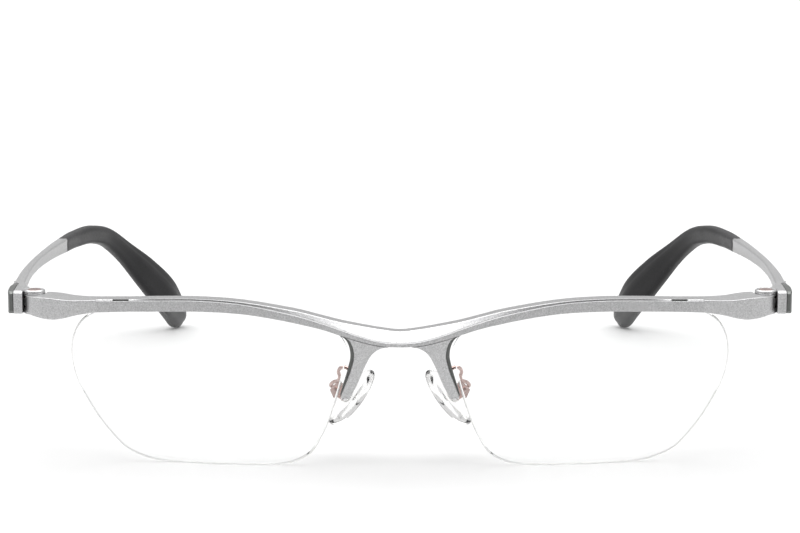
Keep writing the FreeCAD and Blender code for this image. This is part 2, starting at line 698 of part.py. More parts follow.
# the arm leaves the leg's back, loops down and out, and meets the back of the pad box
box_back = pad_place.multVec(Vector(0, 0, box_low))
box_away = pad_turn.multVec(Vector(0, 0, -1))
leg_root = Vector(across(9.2), front_y(0, 18.6 + lift) + size("leg_depth") - 0.35, 18.6 + lift)
arm_points = [
    leg_root,
    leg_root + Vector(0.2, 2.0, -0.1),
    leg_root + Vector(2.4, 3.4, -0.9),
    leg_root + Vector(3.9, 4.0, -3.3),
    box_back + box_away * 1.5 + Vector(0.5, -0.6, 0.5),
    box_back + box_away * 0.02,
]
arm_wire, arm_path, arm_radii = tube(arm_points, size("pad_wire_radius"))
print("pad arm smallest bend", round(min(arm_radii), 2))
pad_arm = only_solid(arm_wire.cut(leg))

# ---- both sides
# the origin is under the middle of the box, which reaches from the front's face to the tips
front_edge = front_bar.optimalBoundingBox().YMin
rear_edge = tip_solid.optimalBoundingBox().YMax
origin_shift = Vector(0, -(front_edge + rear_edge) / 2, 0)
sides = {"left": 1, "right": -1}


def shape_feature(name, shape):
    """Keep a free-form shape as a document object, moved so that the origin is mid-box."""
    obj = doc.addObject("Part::Feature", name)
    obj.Label = name
    obj.Shape = shape
    obj.Placement = FreeCAD.Placement(origin_shift, FreeCAD.Rotation()).multiply(shape.Placement)
    return obj


shape_feature("front_bar", front_bar)
shape_feature("brow_bar", brow_bar)
for word, side in sides.items():
    shape_feature("nasal_leg_" + word, mirrored(leg, side))
    shape_feature("end_piece_" + word, mirrored(end_body, side))
    shape_feature("rim_liner_" + word, mirrored(liner_solid, side))
    shape_feature("lens_" + word, mirrored(lens_solid, side))
    shape_feature("lens_line_" + word, mirrored(line_tube, side))
    shape_feature("temple_arm_" + word, mirrored(arm, side))
    shape_feature("side_plate_" + word, mirrored(plate, side))
    shape_feature("temple_tip_" + word, mirrored(tip_solid, side))
    shape_feature("pad_arm_" + word, mirrored(pad_arm, side))
    shape_feature("nose_pad_" + word, mirrored(placed(pad_block, pad_place), side))
    shape_feature("pad_core_" + word, mirrored(placed(core_shape, pad_place), side))
    shape_feature("pad_box_" + word, mirrored(placed(box_shape, pad_place), side))
    shape_feature("pad_screw_" + word, mirrored(placed(pad_screw, pad_place), side))


# ---- hinge hardware
def bound(kind, name, **expressions):
    obj = doc.addObject(kind, name)
    for prop, expression in expressions.items():
        obj.setExpression(prop, expression)
    return obj


def hinge_cylinder(name, radius, height):
    return bound("Part::Cylinder", name, Radius=radius, Height=height)


def put(obj, x, y, z):
    obj.Placement = FreeCAD.Placement(Vector(x, y, z) + origin_shift, FreeCAD.Rotation())


bush_bore = "Sizes.pin_radius + Sizes.pin_clearance"
ring_radius = "Sizes.knuckle_radius - 0.1"
for word, side in sides.items():
    x = side * hinge_x
    bush_outer = hinge_cylinder("BushOuter_" + word, "Sizes.bush_radius", "Sizes.middle_knuckle")
    bush_inner = hinge_cylinder("BushInner_" + word, bush_bore, "Sizes.middle_knuckle")
    put(bush_outer, x, hinge_y, middle_low)
    put(bush_inner, x, hinge_y, middle_low)
    bush = doc.addObject("Part::Cut", "hinge_bush_" + word)
    bush.Base = bush_outer
    bush.Tool = bush_inner
    bush.Label = "hinge_bush_" + word

    rings = []
    washer_lows = (
        middle_low - size("washer_gap") - size("washer_thickness"),
        middle_low + size("middle_knuckle") + size("washer_gap"),
    )
    for number, low in enumerate(washer_lows):
        tail = "%d_%s" % (number, word)
        ring_outer = hinge_cylinder("RingOuter" + tail, ring_radius, "Sizes.washer_thickness")
        ring_inner = hinge_cylinder("RingInner" + tail, bush_bore, "Sizes.washer_thickness")
        put(ring_outer, x, hinge_y, low)
        put(ring_inner, x, hinge_y, low)
        ring = doc.addObject("Part::Cut", "Ring" + tail)
        ring.Base = ring_outer
        ring.Tool = ring_inner
        rings.append(ring)
    washers = doc.addObject("Part::Compound", "hinge_washers_" + word)
    washers.Links = rings
    washers.Label = "hinge_washers_" + word

    shank_height = "Sizes.hinge_height - Sizes.screw_head_height"
    shank = hinge_cylinder("Shank_" + word, "Sizes.pin_radius", shank_height)
    put(shank, x, hinge_y, hinge_low)
    head = hinge_cylinder("Head_" + word, "Sizes.screw_head_radius", "Sizes.screw_head_height")
    put(head, x, hinge_y, head_low)
    slot = bound(
        "Part::Box", "Slot_" + word,
        Length="2 * Sizes.screw_head_radius + 1",
        Width="Sizes.slot_width",
        Height="Sizes.screw_head_height",
    )
    put(slot, x - size("screw_head_radius") - 0.5, hinge_y - size("slot_width") / 2, hinge_top - 0.25)
    whole = doc.addObject("Part::Fuse", "Whole_" + word)
    whole.Base = shank
    whole.Tool = head
    screw = doc.addObject("Part::Cut", "hinge_screw_" + word)
    screw.Base = whole
    screw.Tool = slot
    screw.Label = "hinge_screw_" + word

doc.recompute()

# ---- export
nodes = ["front_bar", "brow_bar"]
for word in sides:
    for piece in (
        "nasal_leg", "end_piece", "rim_liner", "lens", "lens_line", "temple_arm", "side_plate",
        "temple_tip", "pad_arm", "nose_pad", "pad_core", "pad_box", "pad_screw", "hinge_bush",
        "hinge_washers", "hinge_screw",
    ):
        nodes.append(piece + "_" + word)

for obj in doc.Objects:
    if "Invalid" in obj.State or "Error" in obj.State:
        raise RuntimeError("%s is %s" % (obj.Name, obj.State))
os.makedirs("parts", exist_ok=True)
print("origin shift", round(origin_shift.y, 4))
print("hinge at", [round(v, 4) for v in (hinge_x, hinge_y + origin_shift.y, hinge_z)])
for node in nodes:
    piece = doc.getObjectsByLabel(node)[0]
    if piece.Shape.isNull() or not piece.Shape.isValid():
        raise RuntimeError(node + " has no valid shape")
    piece.Shape.exportStep("parts/%s.step" % node)
    print(node, round(piece.Shape.Volume, 2), len(piece.Shape.Solids), len(piece.Shape.Faces))
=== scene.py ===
import json
import math
import bpy
import numpy as np
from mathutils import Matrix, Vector


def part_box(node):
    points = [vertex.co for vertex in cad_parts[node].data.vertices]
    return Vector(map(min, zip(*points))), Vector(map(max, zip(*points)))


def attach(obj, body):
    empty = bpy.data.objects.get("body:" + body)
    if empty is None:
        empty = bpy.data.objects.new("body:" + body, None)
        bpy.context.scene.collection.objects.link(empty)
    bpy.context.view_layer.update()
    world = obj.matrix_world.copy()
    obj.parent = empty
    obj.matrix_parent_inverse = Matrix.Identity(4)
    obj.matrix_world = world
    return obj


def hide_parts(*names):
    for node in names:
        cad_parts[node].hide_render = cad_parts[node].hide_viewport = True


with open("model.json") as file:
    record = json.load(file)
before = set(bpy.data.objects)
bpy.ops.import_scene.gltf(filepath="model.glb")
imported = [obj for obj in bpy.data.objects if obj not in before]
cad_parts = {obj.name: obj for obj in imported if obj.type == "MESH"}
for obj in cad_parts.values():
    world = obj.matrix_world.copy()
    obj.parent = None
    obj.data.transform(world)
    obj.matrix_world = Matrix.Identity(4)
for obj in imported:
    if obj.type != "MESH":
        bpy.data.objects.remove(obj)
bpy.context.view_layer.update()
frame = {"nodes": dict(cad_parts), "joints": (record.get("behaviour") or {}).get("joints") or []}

# half rim eyeglasses; working numbers are in millimetres and become metres when a mesh is made.
# x runs from the middle to the side, y from the front's face to the back, z up from the table

joints = {joint["name"]: joint for joint in frame["joints"]}
hinge = np.array(joints["temple_fold_left"]["pos_m"]) * 1000
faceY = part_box("front_bar")[0].y * 1000  # the front's face, in the model's own Y
hingeBack = hinge[1] - faceY
hingeX = hinge[0]
hingeZ = hinge[2]
curve = dict(radius=132.0, straight=20.0, height=31.6)


# making meshes

def outward(points, faces, sign=1):
    # the faces, turned if the volume they close (a sum of tetrahedra to the origin) is not of this sign
    total = 0.0
    for f in faces:
        a = points[f[:, 0]]
        for n in range(1, f.shape[1] - 1):
            total += np.einsum("ij,ij->i", a, np.cross(points[f[:, n]], points[f[:, n + 1]])).sum()
    return faces if total * sign > 0 else [f[:, ::-1] for f in faces]


def addMesh(name, points, faces, angle):
    # points n x 3 in mm, faces as a list of index arrays, turned outwards by the sign of the volume
    points = np.asarray(points, float)
    quads = outward(points, faces)
    mesh = bpy.data.meshes.new(name)
    loops = np.concatenate([f.ravel() for f in quads])
    sizes = np.concatenate([np.full(len(f), f.shape[1]) for f in quads])
    mesh.vertices.add(len(points))
    mesh.vertices.foreach_set("co", (points / 1000).ravel())
    mesh.loops.add(len(loops))
    mesh.loops.foreach_set("vertex_index", loops.astype(np.int32))
    mesh.polygons.add(len(sizes))
    mesh.polygons.foreach_set("loop_start", np.r_[0, np.cumsum(sizes)[:-1]].astype(np.int32))
    mesh.polygons.foreach_set("use_smooth", np.ones(len(sizes), bool))
    mesh.update(calc_edges=True)
    mesh.set_sharp_from_angle(angle=math.radians(angle))
    piece = bpy.data.objects.new(name, mesh)
    bpy.context.scene.collection.objects.link(piece)
    return piece


def gridFaces(rows, columns, steps):
    # quads from each of the first steps rows to the next one; the last column meets the first
    u = np.arange(steps)[:, None]
    v = np.arange(columns)[None, :]
    w = (v + 1) % columns
    n = (u + 1) % rows
    return np.stack([u * columns + v, u * columns + w, n * columns + w, n * columns + v], -1).reshape(-1, 4)


def loftSections(sections):
    # sections is rows x columns x 3, each row a closed ring; an end cap is a fan to the ring's middle
    rows, columns, _ = sections.shape
    last = (rows - 1) * columns
    points = np.vstack([sections.reshape(-1, 3), sections[0].mean(0), sections[-1].mean(0)])
    v = np.arange(columns)
    w = (v + 1) % columns
    start = np.stack([w, v, np.full(columns, rows * columns)], -1)
    end = np.stack([last + v, last + w, np.full(columns, rows * columns + 1)], -1)
    return points, [gridFaces(rows, columns, rows - 1), start, end]


def joinParts(parts):
    # one mesh from several: points stacked, faces counted on
    points, faces, count = [], [], 0
    for p, fs in parts:
        points.append(p)
        faces += [f + count for f in fs]
        count += len(p)
    return np.vstack(points), faces


def through(rows, at):
    # a smooth curve through rows of numbers, read at values of their first column:
    # cubic pieces whose slopes are those of the parabola through each three neighbours
    rows = np.asarray(rows, float)
    at = np.clip(np.asarray(at, float), rows[0, 0], rows[-1, 0])
    slopes = np.gradient(rows[:, 1:], rows[:, 0], axis=0)
    i = np.clip(np.searchsorted(rows[:, 0], at, side="right") - 1, 0, len(rows) - 2)
    step = (rows[i + 1, 0] - rows[i, 0])[:, None]
    t = ((at - rows[i, 0]) / step[:, 0])[:, None]
    a, b = rows[i, 1:], rows[i + 1, 1:]
    return ((2 * t**3 - 3 * t**2 + 1) * a + (t**3 - 2 * t**2 + t) * step * slopes[i]
            + (3 * t**2 - 2 * t**3) * b + (t**3 - t**2) * step * slopes[i + 1])


def alongPoints(points):
    # the same points with their running length in front
    points = np.asarray(points, float)
    run = np.r_[0, np.cumsum(np.linalg.norm(np.diff(points, axis=0), axis=1))]
    return np.c_[run, points]


def roundedRings(corners, reach, steps=5):
    # corners is rows x corners x k; each corner becomes a parabola that starts reach before it,
    # with one more point on each side so that the flat face beside it stays flat in the light
    before = np.roll(corners, 1, axis=1) - corners
    after = np.roll(corners, -1, axis=1) - corners
    beforeLength = np.linalg.norm(before, axis=2, keepdims=True) + 1e-9
    afterLength = np.linalg.norm(after, axis=2, keepdims=True) + 1e-9
    reach = np.broadcast_to(np.asarray(reach, float), corners.shape[:2])[..., None]
    cut = np.minimum(reach, 0.42 * np.minimum(beforeLength, afterLength))
    flat = np.minimum(0.25 * cut, 0.07 * np.minimum(beforeLength, afterLength))
    start = corners + before / beforeLength * cut
    end = corners + after / afterLength * cut
    t = np.linspace(0, 1, steps)[None, None, :, None]
    ring = (1 - t)**2 * start[:, :, None] + 2 * t * (1 - t) * corners[:, :, None] + t**2 * end[:, :, None]
    first = (start + before / beforeLength * flat)[:, :, None]
    last = (end + after / afterLength * flat)[:, :, None]
    ring = np.concatenate([first, ring, last], 2)
    return ring.reshape(corners.shape[0], -1, corners.shape[2])


def carry(path, profileRings, up=(0, 0, 1)):
    # rings in a plane (across, upright) set square to a path of points
    path = np.asarray(path, float)
    along = np.gradient(path, axis=0)
    along /= np.linalg.norm(along, axis=1, keepdims=True)
    across = np.cross(along, np.asarray(up, float))
    across /= np.linalg.norm(across, axis=1, keepdims=True)
    upright = np.cross(across, along)
    return path[:, None] + profileRings[..., :1] * across[:, None] + profileRings[..., 1:] * upright[:, None]


def tubeRings(path, radius, count, up):
    # a round wire: a circle carried along a path
    angle = np.linspace(0, 2 * np.pi, count, endpoint=False)
    circle = radius * np.stack([np.cos(angle), np.sin(angle)], -1)
    return carry(path, circle[None], up)


def frontDepth(x, z):
    # straight in the middle, then a sphere's surface that falls back to each side and downwards
    side = np.maximum(np.abs(x) - curve["straight"], 0)
    drop = z - curve["height"]
    return curve["radius"] - np.sqrt(curve["radius"]**2 - side**2 - drop**2)


def place(points, side):
    # from the left half's own numbers (Y from the front's face) to the model's, for one side
    out = np.array(points, float)
    out[..., 1] += faceY
    out[..., 0] *= side
    return out


def withX(rings, x):
    # upright rings of (y, z), each set at its own x
    return np.concatenate([np.broadcast_to(x[:, None, None], (*rings.shape[:2], 1)), rings], -1)


def withY(rings, y):
    # rings of (x, z), each set at its own y
    return np.stack([rings[..., 0], np.broadcast_to(y[:, None], rings.shape[:2]), rings[..., 1]], -1)


def boxRings(low, high, bottom, top):
    # the four corners of a rectangle for each row, from its low and high sides, bottom and top
    low, high, bottom, top = np.broadcast_arrays(low, high, bottom, top)
    return np.stack([np.stack([low, bottom], -1), np.stack([high, bottom], -1),
                     np.stack([high, top], -1), np.stack([low, top], -1)], 1)


def finishPiece(piece, body, slotName, material, *nodes):
    # its material, the body it rides on, and the CAD nodes that it stands in for; its slot name is not used
    piece.data.materials.append(material)
    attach(piece, body)
    if nodes:
        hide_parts(*nodes)
    return piece


sides = (("left", 1), ("right", -1))

# materials

def newGroup(name, inputs, outputs):
    group = bpy.data.node_groups.new(name, "ShaderNodeTree")
    for label, kind, value in inputs:
        socket = group.interface.new_socket(label, in_out="INPUT", socket_type=kind)
        socket.default_value = value
    for label, kind in outputs:
        group.interface.new_socket(label, in_out="OUTPUT", socket_type=kind)
    return group, group.nodes.new("NodeGroupInput"), group.nodes.new("NodeGroupOutput")


def makeGrain():
    # blasted or moulded surface: fine pits, slower cloudiness, and a colour between two tones
    group, given, put = newGroup(
        "surfaceGrain",
        [("Scale", "NodeSocketFloat", 4000.0), ("Cloud Scale", "NodeSocketFloat", 500.0),
         ("Low Colour", "NodeSocketColor", (0.5, 0.5, 0.5, 1)),
         ("High Colour", "NodeSocketColor", (0.6, 0.6, 0.6, 1)),
         ("Low Rough", "NodeSocketFloat", 0.35), ("High Rough", "NodeSocketFloat", 0.45)],
        [("Colour", "NodeSocketColor"), ("Roughness", "NodeSocketFloat"), ("Height", "NodeSocketFloat")])
    nodes, links = group.nodes, group.links
    where = nodes.new("ShaderNodeTexCoord")
    fine = nodes.new("ShaderNodeTexNoise")
    fine.inputs["Detail"].default_value = 3.0
    fine.inputs["Roughness"].default_value = 0.6
    cloud = nodes.new("ShaderNodeTexNoise")
    cloud.inputs["Detail"].default_value = 2.0
    for noise, label in ((fine, "Scale"), (cloud, "Cloud Scale")):
        links.new(where.outputs["Object"], noise.inputs["Vector"])
        links.new(given.outputs[label], noise.inputs["Scale"])
    blend = nodes.new("ShaderNodeMath")
    blend.operation = "MULTIPLY_ADD"
    links.new(fine.outputs["Fac"], blend.inputs[0])
    blend.inputs[1].default_value = 0.7
    lighten = nodes.new("ShaderNodeMath")
    lighten.operation = "MULTIPLY"
    links.new(cloud.outputs["Fac"], lighten.inputs[0])
    lighten.inputs[1].default_value = 0.3
    links.new(lighten.outputs[0], blend.inputs[2])
    spread = nodes.new("ShaderNodeMapRange")
    spread.inputs["From Min"].default_value = 0.35
    spread.inputs["From Max"].default_value = 0.65
    links.new(blend.outputs[0], spread.inputs["Value"])
    tone = nodes.new("ShaderNodeMix")
    tone.data_type = "RGBA"
    links.new(spread.outputs["Result"], tone.inputs["Factor"])
    links.new(given.outputs["Low Colour"], tone.inputs["A"])
    links.new(given.outputs["High Colour"], tone.inputs["B"])
    rough = nodes.new("ShaderNodeMapRange")
    links.new(spread.outputs["Result"], rough.inputs["Value"])
    links.new(given.outputs["Low Rough"], rough.inputs["To Min"])
    links.new(given.outputs["High Rough"], rough.inputs["To Max"])
    links.new(next(s for s in tone.outputs if s.type == "RGBA"), put.inputs["Colour"])
    links.new(rough.outputs["Result"], put.inputs["Roughness"])
    links.new(fine.outputs["Fac"], put.inputs["Height"])
    return group


grainGroup = makeGrain()


def shaded(name, grain, bump=0.2, depth=0.00002, shade=1.0, **plain):
    # a Principled material fed by the grain group; plain holds the sockets that are one value all over
    material = bpy.data.materials.new(name)
    material.use_nodes = True
    nodes, links = material.node_tree.nodes, material.node_tree.links
    shader = nodes["Principled BSDF"]
    group = nodes.new("ShaderNodeGroup")
    group.node_tree = grainGroup
    for label, value in grain.items():
        group.inputs[label].default_value = value
    links.new(group.outputs["Colour"], shader.inputs["Base Color"])
    links.new(group.outputs["Roughness"], shader.inputs["Roughness"])
    lift = nodes.new("ShaderNodeBump")
    lift.inputs["Strength"].default_value = bump
    lift.inputs["Distance"].default_value = depth
    links.new(group.outputs["Height"], lift.inputs["Height"])
    links.new(lift.outputs["Normal"], shader.inputs["Normal"])
    for label, value in plain.items():
        shader.inputs[label.replace("_", " ")].default_value = value
    if shade < 1:
        # a clear piece throws only a part of a solid one's shadow
        path = nodes.new("ShaderNodeLightPath")
        thin = nodes.new("ShaderNodeMapRange")
        thin.inputs["To Min"].default_value = 1.0
        thin.inputs["To Max"].default_value = shade
        links.new(path.outputs["Is Shadow Ray"], thin.inputs["Value"])
        links.new(thin.outputs["Result"], shader.inputs["Alpha"])
    return material


def tones(low, high, lowRough, highRough, scale, cloud):
    return {"Low Colour": (*low, 1), "High Colour": (*high, 1), "Low Rough": lowRough,
            "High Rough": highRough, "Scale": scale, "Cloud Scale": cloud}


blastedMetal = shaded("blastedTitanium",
                      tones((0.34, 0.34, 0.342), (0.63, 0.63, 0.635), 0.3, 0.4, 5600, 3200),
                      bump=0.3, depth=0.00002, Metallic=1.0)
# the bars' titanium is the end pieces' one painted darker: painted shade for the duller light on the bars'
# faces
barMetalShaded = shaded("blastedBars", tones((0.31, 0.31, 0.312), (0.58, 0.58, 0.585), 0.3, 0.4, 5600, 3200),
                  bump=0.3, depth=0.00002, Metallic=1.0)
# dark metal for the side plates; the same dark is painted shade on the pieces in the bar slot and the leg
# channel
darkMetalAndShade = shaded("gunmetal", tones((0.115, 0.12, 0.115), (0.16, 0.165, 0.16), 0.34, 0.46, 4800, 500),
                   bump=0.25, depth=0.00002, Metallic=0.9)
roseMetal = shaded("rosePlating", tones((0.42, 0.3, 0.275), (0.56, 0.42, 0.385), 0.16, 0.26, 2600, 600),
                   bump=0.06, depth=0.00001, Metallic=1.0)
brightMetal = shaded("polishedSteel", tones((0.68, 0.68, 0.69), (0.8, 0.8, 0.8), 0.12, 0.22, 3000, 700),
                     bump=0.05, depth=0.00001, Metallic=1.0)
bushMetal = shaded("turnedBrass", tones((0.55, 0.42, 0.25), (0.72, 0.57, 0.36), 0.22, 0.34, 3000, 700),
                   bump=0.08, depth=0.00001, Metallic=1.0)
tipRubber = shaded("tipRubber", tones((0.004, 0.004, 0.0045), (0.012, 0.0115, 0.013), 0.34, 0.48, 2600, 260),
                   bump=0.25, depth=0.00003, Specular_IOR_Level=0.3)
lensGlass = shaded("lensPolymer", tones((0.985, 0.992, 0.99), (1.0, 1.0, 1.0), 0.0, 0.012, 60, 30),
                   bump=0.0, depth=0.00001, shade=0.08, Transmission_Weight=1.0, IOR=1.5)
nylonClear = shaded("clearNylon", tones((0.95, 0.95, 0.94), (1.0, 1.0, 0.99), 0.1, 0.18, 1500, 300),
                    bump=0.02, depth=0.00001, shade=0.3, Transmission_Weight=0.6, IOR=1.3)
padSilicone = shaded("padSilicone", tones((0.95, 0.945, 0.94), (0.99, 0.99, 0.985), 0.02, 0.06, 900, 220),
                     bump=0.03, depth=0.00003, shade=0.3, Transmission_Weight=1.0, IOR=1.42)
print("materials ready")

nodeFinish = {
    "front_bar": barMetalShaded, "brow_bar": barMetalShaded, "nasal_leg": blastedMetal, "end_piece": blastedMetal,
    "temple_arm": blastedMetal, "side_plate": darkMetalAndShade, "temple_tip": tipRubber, "lens": lensGlass,
    "lens_line": nylonClear, "rim_liner": nylonClear, "pad_arm": roseMetal, "pad_box": roseMetal,
    "pad_core": nylonClear, "pad_screw": brightMetal, "nose_pad": padSilicone, "hinge_screw": roseMetal,
    "hinge_bush": bushMetal, "hinge_washers": roseMetal,
}
for name, node in frame["nodes"].items():
    finish = nodeFinish[name.removesuffix("_left").removesuffix("_right")]
    node.data.materials.clear()
    node.data.materials.append(finish)

# the front: bars, end pieces and nasal legs

# distance from the middle, ledge height, bottom edge height, bevel
barRows = [
    (0.0, 24.5, 23.83, 1.85), (3.7, 24.8, 24.05, 1.95), (7.4, 25.8, 24.9, 1.65), (11.2, 27.15, 26.1, 1.15),
    (14.9, 28.45, 27.3, 0.85), (18.6, 29.6, 28.2, 0.7), (22.3, 30.5, 29.0, 0.55), (29.7, 31.9, 30.1, 0.3),
    (37.2, 32.4, 30.4, 0.22), (44.7, 32.25, 30.2, 0.2), (51.2, 31.95, 29.9, 0.15), (57.0, 31.65, 29.45, 0.15),
]
barRows = [(-x, a, b, c) for x, a, b, c in barRows[:0:-1]] + barRows
barFront = dict(depth=0.8, round=0.12, hiddenRound=0.03, seam=0.22, seamDeep=0.3, sections=241)
barBrow = dict(depth=3.4, bevelDepth=0.6, round=0.14, rearRound=0.25, hiddenRound=0.03, seamRound=0.01,
               lipRound=0.04, lip=0.02, rearLift=0.2)
# the seam fades out near the ends, where a short slot is let into it; a dark piece in the slot is painted
# shade
barSlit = dict(middle=52.3, half=1.5, deep=0.5, tall=0.45, notch=0.06, seamEnd=50.5, seamFade=4.0,
               seamLeast=0.1, step=0.06, floorFront=0.1, floorDrop=0.03, floorTall=0.37, play=0.02,
               round=0.03)
barEnd = barRows[-1][0] + 0.016  # the end pieces take over here


def barShape(x):
    # ledge height, bottom height and bevel at a distance from the middle
    return through(barRows, x).T


def makeBars():
    # both bars are rings of rounded corners in the YZ plane, carried across the face
    s = barSlit
    edges = np.array([s["middle"] - s["half"], s["middle"] + s["half"]])
    edges = (edges[:, None] + np.array([-s["step"], s["step"]])).ravel()
    x = np.sort(np.r_[np.linspace(-barEnd, barEnd, barFront["sections"]), edges, -edges])
    ledge, bottom, bevel = barShape(x)
    lowY, highY = frontDepth(x, bottom), frontDepth(x, ledge)
    t = barFront["depth"]
    slit = np.clip((s["half"] + s["step"] - np.abs(np.abs(x) - s["middle"])) / (2 * s["step"]), 0, 1)
    notched = ledge - slit * s["notch"]
    front = np.stack([
        np.stack([lowY, bottom], -1), np.stack([highY, notched], -1),
        np.stack([highY + t, notched], -1), np.stack([lowY + t, bottom], -1)], 1)
    r, hidden = barFront["round"], barFront["hiddenRound"]
    rings = withX(roundedRings(front, [r, r, hidden, hidden], 4), x)
    piece = addMesh("frontBar", *loftSections(place(rings, 1)), angle=40)
    finishPiece(piece, "front", "satin_metal", barMetalShaded, "front_bar")

    b = barBrow
    rear = highY + t + b["depth"] + b["bevelDepth"] * bevel
    top = ledge + bevel
    shown = np.clip((s["seamEnd"] - np.abs(x)) / s["seamFade"], s["seamLeast"], 1)
    seam = barFront["seam"] * shown
    floor = ledge - barFront["seamDeep"] * shown - slit * s["tall"]
    gap = seam + slit * (s["deep"] - seam)
    brow = np.stack([
        np.stack([lowY + t, bottom], -1), np.stack([highY + t, floor], -1),
        np.stack([highY + t + gap, floor + b["lip"]], -1), np.stack([highY + t + gap, ledge - b["lip"]], -1),
        np.stack([highY + t + bevel, top], -1), np.stack([rear, top], -1),
        np.stack([rear, bottom + b["rearLift"]], -1)], 1)
    reach = [b["hiddenRound"], b["seamRound"], b["seamRound"], b["lipRound"], b["round"],
             b["rearRound"], b["rearRound"]]
    rings = withX(roundedRings(brow, reach, 6), x)
    piece = addMesh("browBar", *loftSections(place(rings, 1)), angle=40)
    finishPiece(piece, "front", "satin_metal", barMetalShaded, "brow_bar")


def makeBarSlotShade(word, side):
    # a dark piece as the floor of the short slot between the two bars, near the end of the front: painted
    # shade for the slot's shadow
    s = barSlit
    x = s["middle"] + np.linspace(-1, 1, 12) * (s["half"] - s["play"])
    ledge = barShape(x)[0]
    y = frontDepth(x, ledge)
    top = ledge - s["floorDrop"]
    corners = boxRings(y + s["floorFront"], y + barFront["depth"], top - s["floorTall"], top)
    rings = withX(roundedRings(corners, s["round"], 3), x)
    piece = addMesh("barSlot_" + word, *loftSections(place(rings, side)), angle=40)
    finishPiece(piece, "front", "dark_metal", darkMetalAndShade)


makeBars()
for word, side in sides:
    makeBarSlotShade(word, side)
print("bars made")

# distance from the middle, top, bottom, front's depth behind the wrap curve, rear face
endRows = [
    (barEnd, 31.8, 29.45, 0.0, 9.62), (58.5, 31.68, 29.17, 0.0, 10.5), (60.2, 31.54, 28.82, 0.0, 11.7),
    (62.0, 31.45, 28.3, 0.0, 13.1), (63.8, 31.48, 27.78, 0.0, 14.5), (65.4, 31.56, 27.5, 0.0, 15.05),
    (66.6, 31.6, 27.5, 0.0, 15.2), (67.8, 31.58, 27.62, 0.02, 14.8), (68.8, 31.54, 27.8, 0.12, 14.25),
    (69.8, 31.48, 27.98, 0.5, 13.7), (70.5, 31.44, 28.15, 1.1, 13.3), (70.95, 31.42, 28.28, 1.85, 13.05),
]
endPiece = dict(gap=2.35, round=0.28, frontTopRound=0.2, topRound=0.32, middleHeight=30.0, leastDepth=0.25,
                knuckle=2.1, knuckleHalf=0.75, bore=1.11, tongueIn=2.3, tongueOut=0.9, tongueFront=3.2,
                tongueRear=1.3, tongueRound=0.1)


def ringSolid(centre, outer, inner, low, high, edge=0.12, count=48):
    # a turned ring: its rectangle with eased corners, spun about an upright axis
    profile = np.array([(inner, low), (outer - edge, low), (outer, low + edge), (outer, high - edge),
                        (outer - edge, high), (inner, high)])
    return spun(centre, profile, count)


def spun(centre, profile, count=48):
    # a profile of distance and height, turned about the upright axis through centre
    angle = np.linspace(0, 2 * np.pi, count, endpoint=False)
    rings = np.stack([
        centre[0] + profile[None, :, 0] * np.cos(angle)[:, None],
        centre[1] + profile[None, :, 0] * np.sin(angle)[:, None],
        np.broadcast_to(profile[None, :, 1], (count, len(profile)))], -1)
    return rings.reshape(-1, 3), [gridFaces(count, len(profile), count)]


def makeEndPiece(word, side):
    # upright sections across the leaf-shaped end, hollowed behind so that the temple's knuckles clear it
    e = endPiece
    x = np.r_[np.linspace(barEnd, 66.5, 40), np.linspace(66.65, endRows[-1][0], 44)]
    top, bottom, behind, rear = through(endRows, x).T
    front = frontDepth(x, e["middleHeight"]) + behind
    offset = np.abs(x - hingeX)
    clear = hingeBack - np.sqrt(np.maximum(e["gap"]**2 - offset**2, 0))
    rear = np.where(offset < e["gap"], np.minimum(rear, clear), rear)
    rear = np.maximum(rear, front + e["leastDepth"])
    corners = np.stack([
        np.stack([front, bottom], -1), np.stack([front, top], -1),
        np.stack([rear, top], -1), np.stack([rear, bottom], -1)], 1)
    reach = [e["round"], e["frontTopRound"], e["topRound"], e["round"]]
    rings = withX(roundedRings(corners, reach, 6), x)
    half = e["knuckleHalf"]
    knuckle = ringSolid((hingeX, hingeBack), e["knuckle"], e["bore"], hingeZ - half, hingeZ + half)
    tongueY = hingeBack - np.linspace(e["tongueFront"], e["tongueRear"], 6)
    inner, outer = np.full(6, hingeX - e["tongueIn"]), hingeX + e["tongueOut"]
    tongue = boxRings(inner, outer, hingeZ - half, hingeZ + half)
    tongue = withY(roundedRings(tongue, e["tongueRound"], 3), tongueY)
    parts = [loftSections(rings), loftSections(tongue), knuckle]
    parts = [(place(p, side), outward(p, f, side)) for p, f in parts]
    points, faces = joinParts(parts)
    piece = addMesh("endPiece_" + word, points, faces, angle=38)
    finishPiece(piece, "front", "satin_metal", blastedMetal, "end_piece_" + word)


for word, side in sides:
    makeEndPiece(word, side)
print("end pieces made")

# the leg's lens side and nose side, from the bars down to the tip
legLensSide = [(10.25, 25.72), (9.5, 25.15), (8.95, 24.2), (8.62, 22.8), (8.62, 21.6), (9.0, 20.0),
               (9.9, 17.3), (10.6, 15.5), (11.05, 14.2)]
legNoseSide = [(2.2, 23.93), (3.4, 23.68), (4.5, 23.1), (5.45, 22.15), (6.15, 20.9), (6.75, 19.6),
               (7.4, 18.0), (8.3, 15.9), (9.35, 14.0)]
leg = dict(setback=0.16, depth=2.9, round=0.14, seam=0.1, band=0.74, bandFront=1.1, bandRear=2.8,
           bandTaper=0.8, bandUnder=0.1, bandRound=0.06, edgeInset=0.35)
legTips = [(0.97, 0.12), (0.86, 0.26), (0.6, 0.38)]  # width left, drop below the leg's last row


